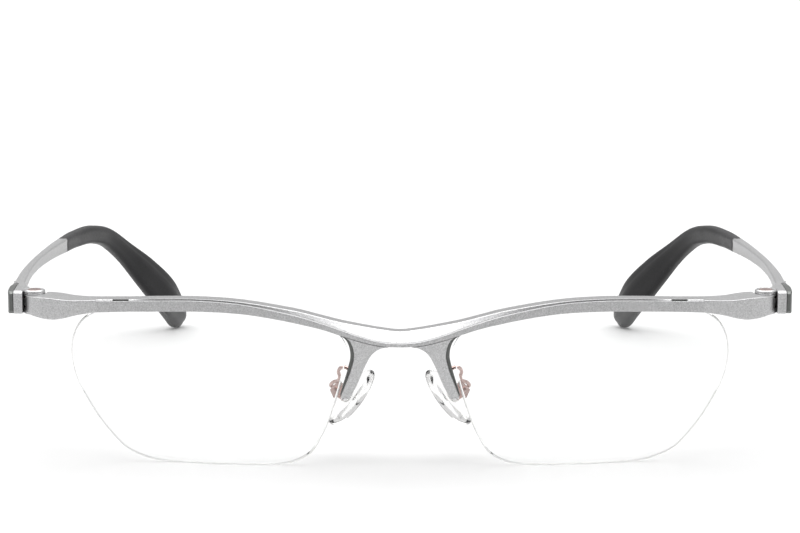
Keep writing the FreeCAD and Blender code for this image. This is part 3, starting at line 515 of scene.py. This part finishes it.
def makeLeg(word, side):
    # rings run round the leg, lens side to nose side and back behind; rows run from the bars to the tip
    rows = 44
    share = np.linspace(0, 1, rows)
    lensSide = alongPoints(legLensSide)
    noseSide = alongPoints(legNoseSide)
    a = through(lensSide, share * lensSide[-1, 0])
    b = through(noseSide, share * noseSide[-1, 0])
    across = np.linspace(0, 1, 15)[None, :, None]
    face = a[:, None] * (1 - across) + b[:, None] * across
    topLine = barShape(face[0, :, 0])[1] - leg["seam"]
    # the top row follows the bar's underside, and lower rows follow it less and less
    face[:, :, 1] += ((1 - share)**3)[:, None] * (topLine - face[0, :, 1])[None]
    setback = leg["setback"] * np.ones(rows)

    def layer(points, depth):
        y = frontDepth(np.zeros_like(points[..., 1]), points[..., 1]) + depth
        return np.stack([points[..., 0], y, points[..., 1]], -1)

    e = leg["round"]
    inset = face.copy()
    inset[:, 0] += (face[:, 1] - face[:, 0]) * leg["edgeInset"]
    inset[:, -1] += (face[:, -2] - face[:, -1]) * leg["edgeInset"]
    front = layer(inset, setback[:, None])
    noseEdge = layer(face[:, -1], setback + e)[:, None]
    noseRear = layer(face[:, -1], setback + leg["depth"] - e)[:, None]
    rearFace = layer(inset[:, ::-1], setback[:, None] + leg["depth"])
    lensRear = layer(face[:, 0], setback + leg["depth"] - e)[:, None]
    lensCorner = layer(face[:, 0], setback + e)[:, None]
    rings = np.concatenate([front, noseEdge, noseRear, rearFace, lensRear, lensCorner], 1)
    end = rings[-1:]
    middle = end.mean(1, keepdims=True)
    tips = [middle + (end - middle) * np.array([s, s, 1.0]) - np.array([0, 0, d]) for s, d in legTips]
    rings = np.concatenate([rings, *tips], 0)
    piece = addMesh("nasalLeg_" + word, *loftSections(place(rings, side)), angle=34)
    finishPiece(piece, "front", "satin_metal", blastedMetal, "nasal_leg_" + word)

    # where the leg's rear layer shows beside it, set back in the channel by the lens, a dark band is painted
    # shade for the channel's shadow
    shade = a + np.array([leg["band"], 0.0]) * (1 - leg["bandTaper"] * share**2)[:, None]
    under = face[:, 0] - (leg["bandUnder"], 0)
    near, far = setback + leg["bandFront"], setback + leg["bandRear"]
    corners = np.stack([layer(under, near), layer(shade, near), layer(shade, far), layer(under, far)], 1)
    rings = roundedRings(corners, leg["bandRound"], 3)
    piece = addMesh("legBand_" + word, *loftSections(place(rings, side)), angle=40)
    finishPiece(piece, "front", "dark_metal", darkMetalAndShade)


for word, side in sides:
    makeLeg(word, side)
print("nasal legs made")

# temples

# outside the hinge pin, behind it, height above the table
templeRoute = [
    (4.1, 8.0, 30.0), (4.15, 20.0, 30.75), (4.05, 34.0, 30.4), (3.4, 48.0, 29.8), (1.9, 68.0, 28.6),
    (0.4, 80.0, 27.95), (-2.3, 91.0, 27.0), (-5.0, 99.5, 24.5), (-8.2, 105.6, 20.2), (-12.3, 111.6, 14.4),
    (-16.3, 117.6, 7.9), (-17.9, 120.8, 4.1),
]
# behind the pin, across, tall
barSizes = [(2.0, 2.2, 4.4), (8.0, 2.4, 3.5), (13.0, 2.1, 2.6), (20.0, 1.9, 2.1), (34.0, 1.6, 2.1),
            (48.0, 1.7, 2.35), (68.0, 2.25, 3.0)]
tipSizes = [(68.0, 2.55, 3.2), (80.0, 2.95, 3.55), (92.0, 3.25, 4.0), (99.5, 3.3, 4.3), (105.6, 3.2, 5.0),
            (111.6, 3.5, 7.0), (117.6, 3.7, 7.8), (120.8, 3.4, 7.0)]
temple = dict(metalEnd=68.0, tipEnd=120.8, cap=4.1, barStart=9.0, barUnder=0.4, barPower=5.0, tipPower=2.9,
              easeLength=0.6, easeWide=0.07, easeTall=0.05, crease=0.55, creaseStart=88, creaseLength=20,
              table=0.02)


def routeAt(back):
    # the temple's middle line at distances behind the pin
    rows = [(b, out, high) for out, b, high in templeRoute]
    out, high = through(rows, back).T
    return np.stack([hingeX + out, hingeBack + np.asarray(back), high], -1)


ridge = dict(above=0.15, width=0.28)


def squareRing(wide, tall, power, count=40, crease=0.0):
    # |x/a|^p + |y/b|^p = 1, read at even angles; power 2 is an ellipse and a high power a rectangle
    angle = np.linspace(0, 2 * np.pi, count, endpoint=False)
    c, s = np.cos(angle), np.sin(angle)
    a, b = wide[:, None] / 2, tall[:, None] / 2
    ring = np.stack([a * np.sign(c) * np.abs(c)**(2 / power), b * np.sign(s) * np.abs(s)**(2 / power)], -1)
    # a low ridge along the inner face: a bell curve that stands proud a little above the middle
    inner = np.clip(-ring[..., 0] / a, 0, 1)**2
    bell = np.exp(-((ring[..., 1] / b - ridge["above"]) / ridge["width"])**2)
    ring[..., 0] -= np.reshape(crease, (-1, 1)) * inner * bell
    return ring


def makeTempleTip(word, side):
    # rounded rectangles along the route, then a dome that shrinks with the cosine of its turn
    t = temple
    back = np.linspace(t["metalEnd"], t["tipEnd"], 110)
    path = routeAt(back)
    wide, tall = through(tipSizes, back).T
    # the start is eased in, and the ridge grows towards the end
    ease = np.sqrt(np.clip((back - back[0]) / t["easeLength"], 0, 1))
    wide = wide * (1 - t["easeWide"] * (1 - ease))
    tall = tall * (1 - t["easeTall"] * (1 - ease))
    crease = t["crease"] * np.clip((back - t["creaseStart"]) / t["creaseLength"], 0, 1)**1.2
    end = path[-1]
    direction = path[-1] - path[-2]
    direction /= np.linalg.norm(direction)
    turn = np.linspace(0, np.pi / 2, 16)[1:-1]
    capPath = end + direction * (t["cap"] * np.sin(turn))[:, None]
    capWide, capTall = wide[-1] * np.cos(turn)**0.8, tall[-1] * np.cos(turn)**0.75
    path = np.concatenate([path, capPath])
    rings = squareRing(np.r_[wide, capWide], np.r_[tall, capTall], t["tipPower"],
                       crease=np.r_[crease, crease[-1] * np.cos(turn)])
    points = carry(path, rings)
    points[..., 2] = np.maximum(points[..., 2], t["table"])
    piece = addMesh("templeTip_" + word, *loftSections(place(points, side)), angle=60)
    finishPiece(piece, "temple_" + word, "tip_rubber", tipRubber, "temple_tip_" + word)


block = dict(outer=3.72, front=-2.5, knuckleRear=2.6, rear=10.6, rounds=(0.35, 0.12, 0.12, 0.3),
             knuckle=2.1, knuckleHalf=2.3, pin=0.7, room=1.05, recess=1.8, lowerRound=0.2, upperRound=0.1)
# radius and height over the hinge's middle: the recessed rim round the screw's head
rimProfile = [(1.22, 1.75), (2.08, 1.75), (2.1, 1.9), (2.02, 2.12), (1.8, 2.27), (1.6, 2.3), (1.42, 2.22),
              (1.22, 2.02)]
# behind the pin, inner face, outer face, low, high: the block that carries the knuckles
blockRows = [
    (-2.5, 2.05, 3.72, -1.75, 1.95), (-1.9, 2.03, 3.72, -2.1, 2.28), (-1.0, 2.0, 3.72, -2.25, 2.3),
    (0.0, 1.95, 3.72, -2.3, 2.3), (1.0, 1.5, 3.72, -2.3, 2.3), (1.9, 1.05, 3.72, -2.3, 2.3),
    (3.0, 1.45, 3.72, -2.2, 2.3), (4.5, 1.9, 3.72, -2.05, 2.25), (6.5, 2.45, 3.72, -1.85, 2.1),
    (7.6, 2.7, 3.78, -1.75, 2.03), (8.6, 2.87, 4.2, -1.7, 1.95), (10.6, 3.1, 5.12, -1.5, 1.85),
]


def makeTempleArm(word, side):
    # the bar: rounded rectangles along the route
    back = np.linspace(temple["barStart"], temple["metalEnd"] + temple["barUnder"], 90)
    wide, tall = through(barSizes, back).T
    path = routeAt(back)
    bar = carry(path, squareRing(wide, tall, temple["barPower"], 44))
    # the block: upright sections behind each other
    k = block
    split = k["knuckleRear"]
    y = np.r_[np.linspace(k["front"], split, 26), np.linspace(split + 0.2, k["rear"], 24)]
    inner, outer, low, high = through(blockRows, y).T
    corners = boxRings(hingeX + inner, hingeX + outer, hingeZ + low, hingeZ + high)
    body = withY(roundedRings(corners, k["rounds"], 5), hingeBack + y)
    # the two knuckles, above and below the end piece's one; the upper is recessed for the screw head
    pin = (hingeX, hingeBack)
    low, high = hingeZ - k["room"], hingeZ + k["room"]
    lower = ringSolid(pin, k["knuckle"], k["pin"], hingeZ - k["knuckleHalf"], low, k["lowerRound"])
    upperLow = ringSolid(pin, k["knuckle"], k["pin"], high, hingeZ + k["recess"], k["upperRound"])
    upper = spun(pin, np.array(rimProfile) + (0, hingeZ), 56)
    parts = [loftSections(bar), loftSections(body), lower, upperLow, upper]
    parts = [(place(p, side), outward(p, f, side)) for p, f in parts]
    points, faces = joinParts(parts)
    piece = addMesh("templeArm_" + word, points, faces, angle=36)
    finishPiece(piece, "temple_" + word, "satin_metal", blastedMetal, "temple_arm_" + word)


# behind the pin, thickness, low, high
plateRows = [
    (-2.5, 0.8, -1.55, 1.8), (-1.8, 1.05, -2.0, 2.18), (-1.0, 1.2, -2.2, 2.2), (0.0, 1.3, -2.28, 2.2),
    (1.5, 1.38, -2.28, 2.2), (4.0, 1.38, -2.1, 2.2), (6.0, 1.3, -1.75, 2.05), (7.6, 1.05, -1.5, 1.85),
    (8.5, 0.8, -1.4, 1.75),
]
plate = dict(seam=0.12, base=3.7, rounds=(0.08, 0.35, 0.3, 0.05))


def makeSidePlate(word, side):
    # upright rounded rectangles behind each other, outside the block and past a fine seam
    y = np.linspace(plateRows[0][0], plateRows[-1][0], 46)
    thick, low, high = through(plateRows, y).T
    inner = hingeX + block["outer"] + plate["seam"]
    outer = hingeX + plate["base"] + thick
    corners = boxRings(inner, outer, hingeZ + low, hingeZ + high)
    rings = withY(roundedRings(corners, plate["rounds"], 6), hingeBack + y)
    piece = addMesh("sidePlate_" + word, *loftSections(place(rings, side)), angle=38)
    finishPiece(piece, "temple_" + word, "dark_metal", darkMetalAndShade, "side_plate_" + word)


for word, side in sides:
    makeTempleArm(word, side)
    makeSidePlate(word, side)
    makeTempleTip(word, side)
print("temples made")

# lenses, their nylon line, and the nose pads

# across from the nose side, height: the lens's outline
lensPoints = [
    (0.0, 22.8), (1.7, 26.0), (4.5, 27.6), (12.5, 29.8), (20.0, 30.9), (27.4, 31.2), (35.0, 31.0),
    (42.0, 30.5), (46.6, 29.6), (49.8, 27.6), (51.6, 24.4), (52.0, 21.4), (51.3, 16.8), (48.9, 11.6),
    (45.2, 6.1), (41.75, 2.6), (38.0, 1.0), (30.0, 0.15), (22.0, 0.04), (13.8, 0.2), (10.2, 0.95),
    (7.2, 2.7), (5.0, 6.3), (2.4, 13.3), (0.7, 19.5),
]
lens = dict(noseSide=9.8, setback=1.05, thick=1.8, groove=0.04, grooveHalf=0.36, polish=0.2, around=400)
lensLine = dict(radius=0.22, inset=-0.08, rest=0.2, restEase=0.14, noseEnd=(20, 16.8), templeEnd=(50, 28.5))


def lensLoop(count):
    # the outline as a closed smooth curve, with its inward direction at each point
    drawn = np.array(lensPoints) + (lens["noseSide"], 0.0)
    rows = alongPoints(np.vstack([drawn[-3:], drawn, drawn[:4]]))
    start, stop = rows[3, 0], rows[3 + len(drawn), 0]
    at = np.linspace(start, stop, count, endpoint=False)
    loop = through(rows, at)
    near = 0.05
    along = through(rows, at + near) - through(rows, at - near)
    along /= np.linalg.norm(along, axis=1, keepdims=True)
    inward = np.stack([along[:, 1], -along[:, 0]], -1)
    middle = loop.mean(0)
    inward *= np.sign(np.einsum("ij,ij->i", inward, middle - loop))[:, None]
    return loop, inward


def lensSurface(points, depth):
    # the lens's own sphere, deeper by depth
    side = points[..., 0] - curve["straight"]
    drop = points[..., 1] - curve["height"]
    y = curve["radius"] - np.sqrt((curve["radius"] - lens["setback"] - depth)**2 - side**2 - drop**2)
    return np.stack([points[..., 0], y, points[..., 1]], -1)


def makeLens(word, side):
    # front and back faces are the outline drawn in towards the middle by a share of its distance
    loop, inward = lensLoop(lens["around"])
    middle = loop.mean(0)
    shares = np.r_[0.004, np.linspace(0.07, 0.9, 13), 0.97]
    thick = lens["thick"]
    mid = thick / 2

    def inner(share):
        return middle + (loop - middle) * share

    polish, half, deep = lens["polish"], lens["grooveHalf"], lens["groove"]
    front = [lensSurface(inner(s), 0.0) for s in shares] + [lensSurface(loop + inward * polish, 0.0)]
    # across the edge: depth from the front and how far in, with a shallow round groove at the middle
    across = [(polish, 0), (mid - half, 0), (mid - half * 0.7, deep * 0.7), (mid, deep),
              (mid + half * 0.7, deep * 0.7), (mid + half, 0), (thick - polish, 0)]
    edge = [lensSurface(loop + inward * into, depth) for depth, into in across]
    back = [lensSurface(loop + inward * polish, thick)] + [lensSurface(inner(s), thick) for s in shares[::-1]]
    rings = np.stack(front + edge + back, 0)
    piece = addMesh("clearLens_" + word, *loftSections(place(rings, side)), angle=30)
    finishPiece(piece, "front", "lens", lensGlass, "lens_" + word)


def makeLensLine(word, side):
    # a round nylon line along the lens edge, from beside the leg round the bottom to below the end piece
    line = lensLine
    loop, inward = lensLoop(lens["around"])
    path = lensSurface(loop + inward * line["inset"], lens["thick"] / 2)
    # at the bottom the line lies on the table: its height is eased to stay over the rest height,
    # as half of height plus rest plus the root of their squared difference and the ease's square
    over = path[:, 2] - line["rest"]
    path[:, 2] = line["rest"] + (over + np.sqrt(over**2 + line["restEase"]**2)) / 2
    x, z = path[:, 0], path[:, 2]
    noseX, noseZ = line["noseEnd"]
    templeX, templeZ = line["templeEnd"]
    first = np.where((x > templeX) & (z < templeZ))[0].min()
    last = np.where((x < noseX) & (z < noseZ))[0].max()
    rings = tubeRings(path[first:last + 1], line["radius"], 12, (0.1, 1, 0.1))
    piece = addMesh("lensLine_" + word, *loftSections(place(rings, side)), angle=60)
    finishPiece(piece, "front", "nylon", nylonClear, "lens_line_" + word)


pad = dict(centre=(9.3, 11.5, 11.9), long=(0.64, 0.12, -0.76), face=(-0.72, 0.42, -0.55), length=13.4,
           width=7.6, thick=2.6, egg=0.13, domePower=2.6, dish=0.25, dishWidth=0.5)


def padAxes():
    # unit vectors along the pad, across it, and out of its contact face
    long = np.array(pad["long"])
    long /= np.linalg.norm(long)
    face = np.array(pad["face"])
    face -= long * face.dot(long)
    face /= np.linalg.norm(face)
    return long, np.cross(face, long), face


def makeNosePad(word, side):
    # a flat bean: an egg outline, a domed contact face and a flatter back with a shallow dish
    long, across, face = padAxes()
    angle = np.linspace(0, 2 * np.pi, 72, endpoint=False)
    shares = np.sin(np.linspace(0.05, np.pi / 2, 14))
    a, b, t = pad["length"] / 2, pad["width"] / 2, pad["thick"] / 2
    c, s = np.cos(angle), np.sin(angle)
    outline = np.stack([a * c, b * s * (1 + pad["egg"] * c)], -1)

    def skin(share, sign):
        height = sign * t * np.sqrt(np.clip(1 - share**pad["domePower"], 0, 1))
        if sign < 0:
            height *= 1 - pad["dish"] * np.exp(-(share / pad["dishWidth"])**2)
        local = outline * share
        return np.array(pad["centre"]) + local[:, :1] * long + local[:, 1:] * across + height * face

    rings = np.stack([skin(s, 1) for s in shares] + [skin(s, -1) for s in shares[-2::-1]], 0)
    piece = addMesh("nosePad_" + word, *loftSections(place(rings, side)), angle=70)
    finishPiece(piece, "pad_" + word, "pad_silicone", padSilicone, "nose_pad_" + word)


padWire = dict(radius=0.34, reach=3.95, height=18.9, sink=0.35)
# across, behind the wire's start, height: its bends behind the leg
wireBends = [(9.3, 0.0, 18.9), (10.1, 0.9, 19.2), (11.2, 1.9, 19.1), (11.6, 2.8, 18.2), (11.4, 3.5, 17.0),
             (11.7, 4.3, 16.2), (12.6, 5.1, 15.7)]


def makePadArm(word, side):
    # a wire bent from the back of the leg, down and outwards, to the box behind the pad
    face = padAxes()[2]
    boxBack = np.array(pad["centre"]) - padWire["reach"] * face
    rear = frontDepth(0.0, padWire["height"]) + leg["depth"] - padWire["sink"]
    bends = np.array(wireBends) + (0, rear, 0)
    entry = [boxBack - 1.1 * face + (0.1, 0, 0.05), boxBack - 0.5 * face, boxBack - 0.02 * face]
    rows = alongPoints(np.vstack([bends, entry]))
    path = through(rows, np.linspace(0, rows[-1, 0], 70))
    rings = tubeRings(path, padWire["radius"], 20, (0.2, 0.1, 1))
    piece = addMesh("padArm_" + word, *loftSections(place(rings, side)), angle=60)
    finishPiece(piece, "front", "rose_metal", roseMetal, "pad_arm_" + word)


for word, side in sides:
    makeLens(word, side)
    makePadArm(word, side)
    makeLensLine(word, side)
    makeNosePad(word, side)
print("lenses, lines and pads made")

# the studio

# air is the world's brightness from straight in front, 0, to straight behind, 1
studio = dict(floorReach=6.0, floorWhite=0.56, floorGlow=0.04, topPower=50.0, topSize=2.6, topDeep=2.2,
              topSpot=(0, 0.25, 1.6), fillPower=0.4, fillSize=1.0, fillDeep=0.5, fillSpot=(0, -1.3, 0.5),
              fillAim=(0, 0, 0.02),
              air=((0.001, 0.2), (0.12, 0.4), (0.35, 1.15), (0.5, 1.0), (0.8, 0.7), (0.999, 0.66)))


def softbox(name, power, wide, deep, spot, aim):
    # a rectangular light at spot that looks at aim, in metres
    light = bpy.data.lights.new(name, "AREA")
    light.shape = "RECTANGLE"
    light.size = wide
    light.size_y = deep
    light.energy = power
    lamp = bpy.data.objects.new(name, light)
    bpy.context.scene.collection.objects.link(lamp)
    lamp.location = spot
    lamp.rotation_euler = (Vector(aim) - Vector(spot)).to_track_quat("-Z", "Y").to_euler()


def makeStudio():
    floor = bpy.data.meshes.new("floor")
    reach = studio["floorReach"]
    floor.from_pydata([(-reach, -reach, 0), (reach, -reach, 0), (reach, reach, 0), (-reach, reach, 0)], [],
                      [(0, 1, 2, 3)])
    plane = bpy.data.objects.new("floor", floor)
    bpy.context.scene.collection.objects.link(plane)
    white = bpy.data.materials.new("floorWhite")
    white.use_nodes = True
    shader = white.node_tree.nodes["Principled BSDF"]
    shader.inputs["Base Color"].default_value = (studio["floorWhite"],) * 3 + (1,)
    shader.inputs["Roughness"].default_value = 0.9
    shader.inputs["Specular IOR Level"].default_value = 0.0
    shader.inputs["Emission Color"].default_value = (1, 1, 1, 1)
    shader.inputs["Emission Strength"].default_value = studio["floorGlow"]
    floor.materials.append(white)

    world = bpy.data.worlds.new("studioAir")
    bpy.context.scene.world = world
    world.use_nodes = True
    nodes, links = world.node_tree.nodes, world.node_tree.links
    back = nodes["Background"]
    where = nodes.new("ShaderNodeTexCoord")
    parts = nodes.new("ShaderNodeSeparateXYZ")
    links.new(where.outputs["Generated"], parts.inputs[0])
    turn = nodes.new("ShaderNodeMapRange")
    turn.inputs["From Min"].default_value = -1.0
    links.new(parts.outputs["Y"], turn.inputs["Value"])
    ramp = nodes.new("ShaderNodeValToRGB")
    links.new(turn.outputs["Result"], ramp.inputs["Fac"])
    # the air is dim in front, brightest at the sides and above, and a little darker behind
    stops = ramp.color_ramp.elements
    for at, value in studio["air"]:
        stop = stops.new(at)
        stop.color = (value,) * 3 + (1,)
    stops.remove(stops[-1])
    stops.remove(stops[0])
    links.new(ramp.outputs["Color"], back.inputs["Color"])
    back.inputs["Strength"].default_value = 1.0

    softbox("topSoftbox", studio["topPower"], studio["topSize"], studio["topDeep"], studio["topSpot"],
            (0, 0, 0))
    softbox("frontFill", studio["fillPower"], studio["fillSize"], studio["fillDeep"], studio["fillSpot"],
            studio["fillAim"])


makeStudio()

# the camera

view = dict(lens=142.8, sensor=36.0, pitch=10.4, height=145.3, back=578.0)
camera = bpy.data.objects.new("camera", bpy.data.cameras.new("camera"))
bpy.context.scene.collection.objects.link(camera)
camera.data.lens = view["lens"]
camera.data.sensor_width = view["sensor"]
camera.data.clip_start = 0.01
camera.data.clip_end = 30
camera.location = (0, (faceY - view["back"]) / 1000, view["height"] / 1000)
camera.rotation_euler = (math.radians(90 - view["pitch"]), 0, 0)
bpy.context.scene.camera = camera
bpy.context.scene.view_settings.view_transform = "Standard"
print("camera and lights set")
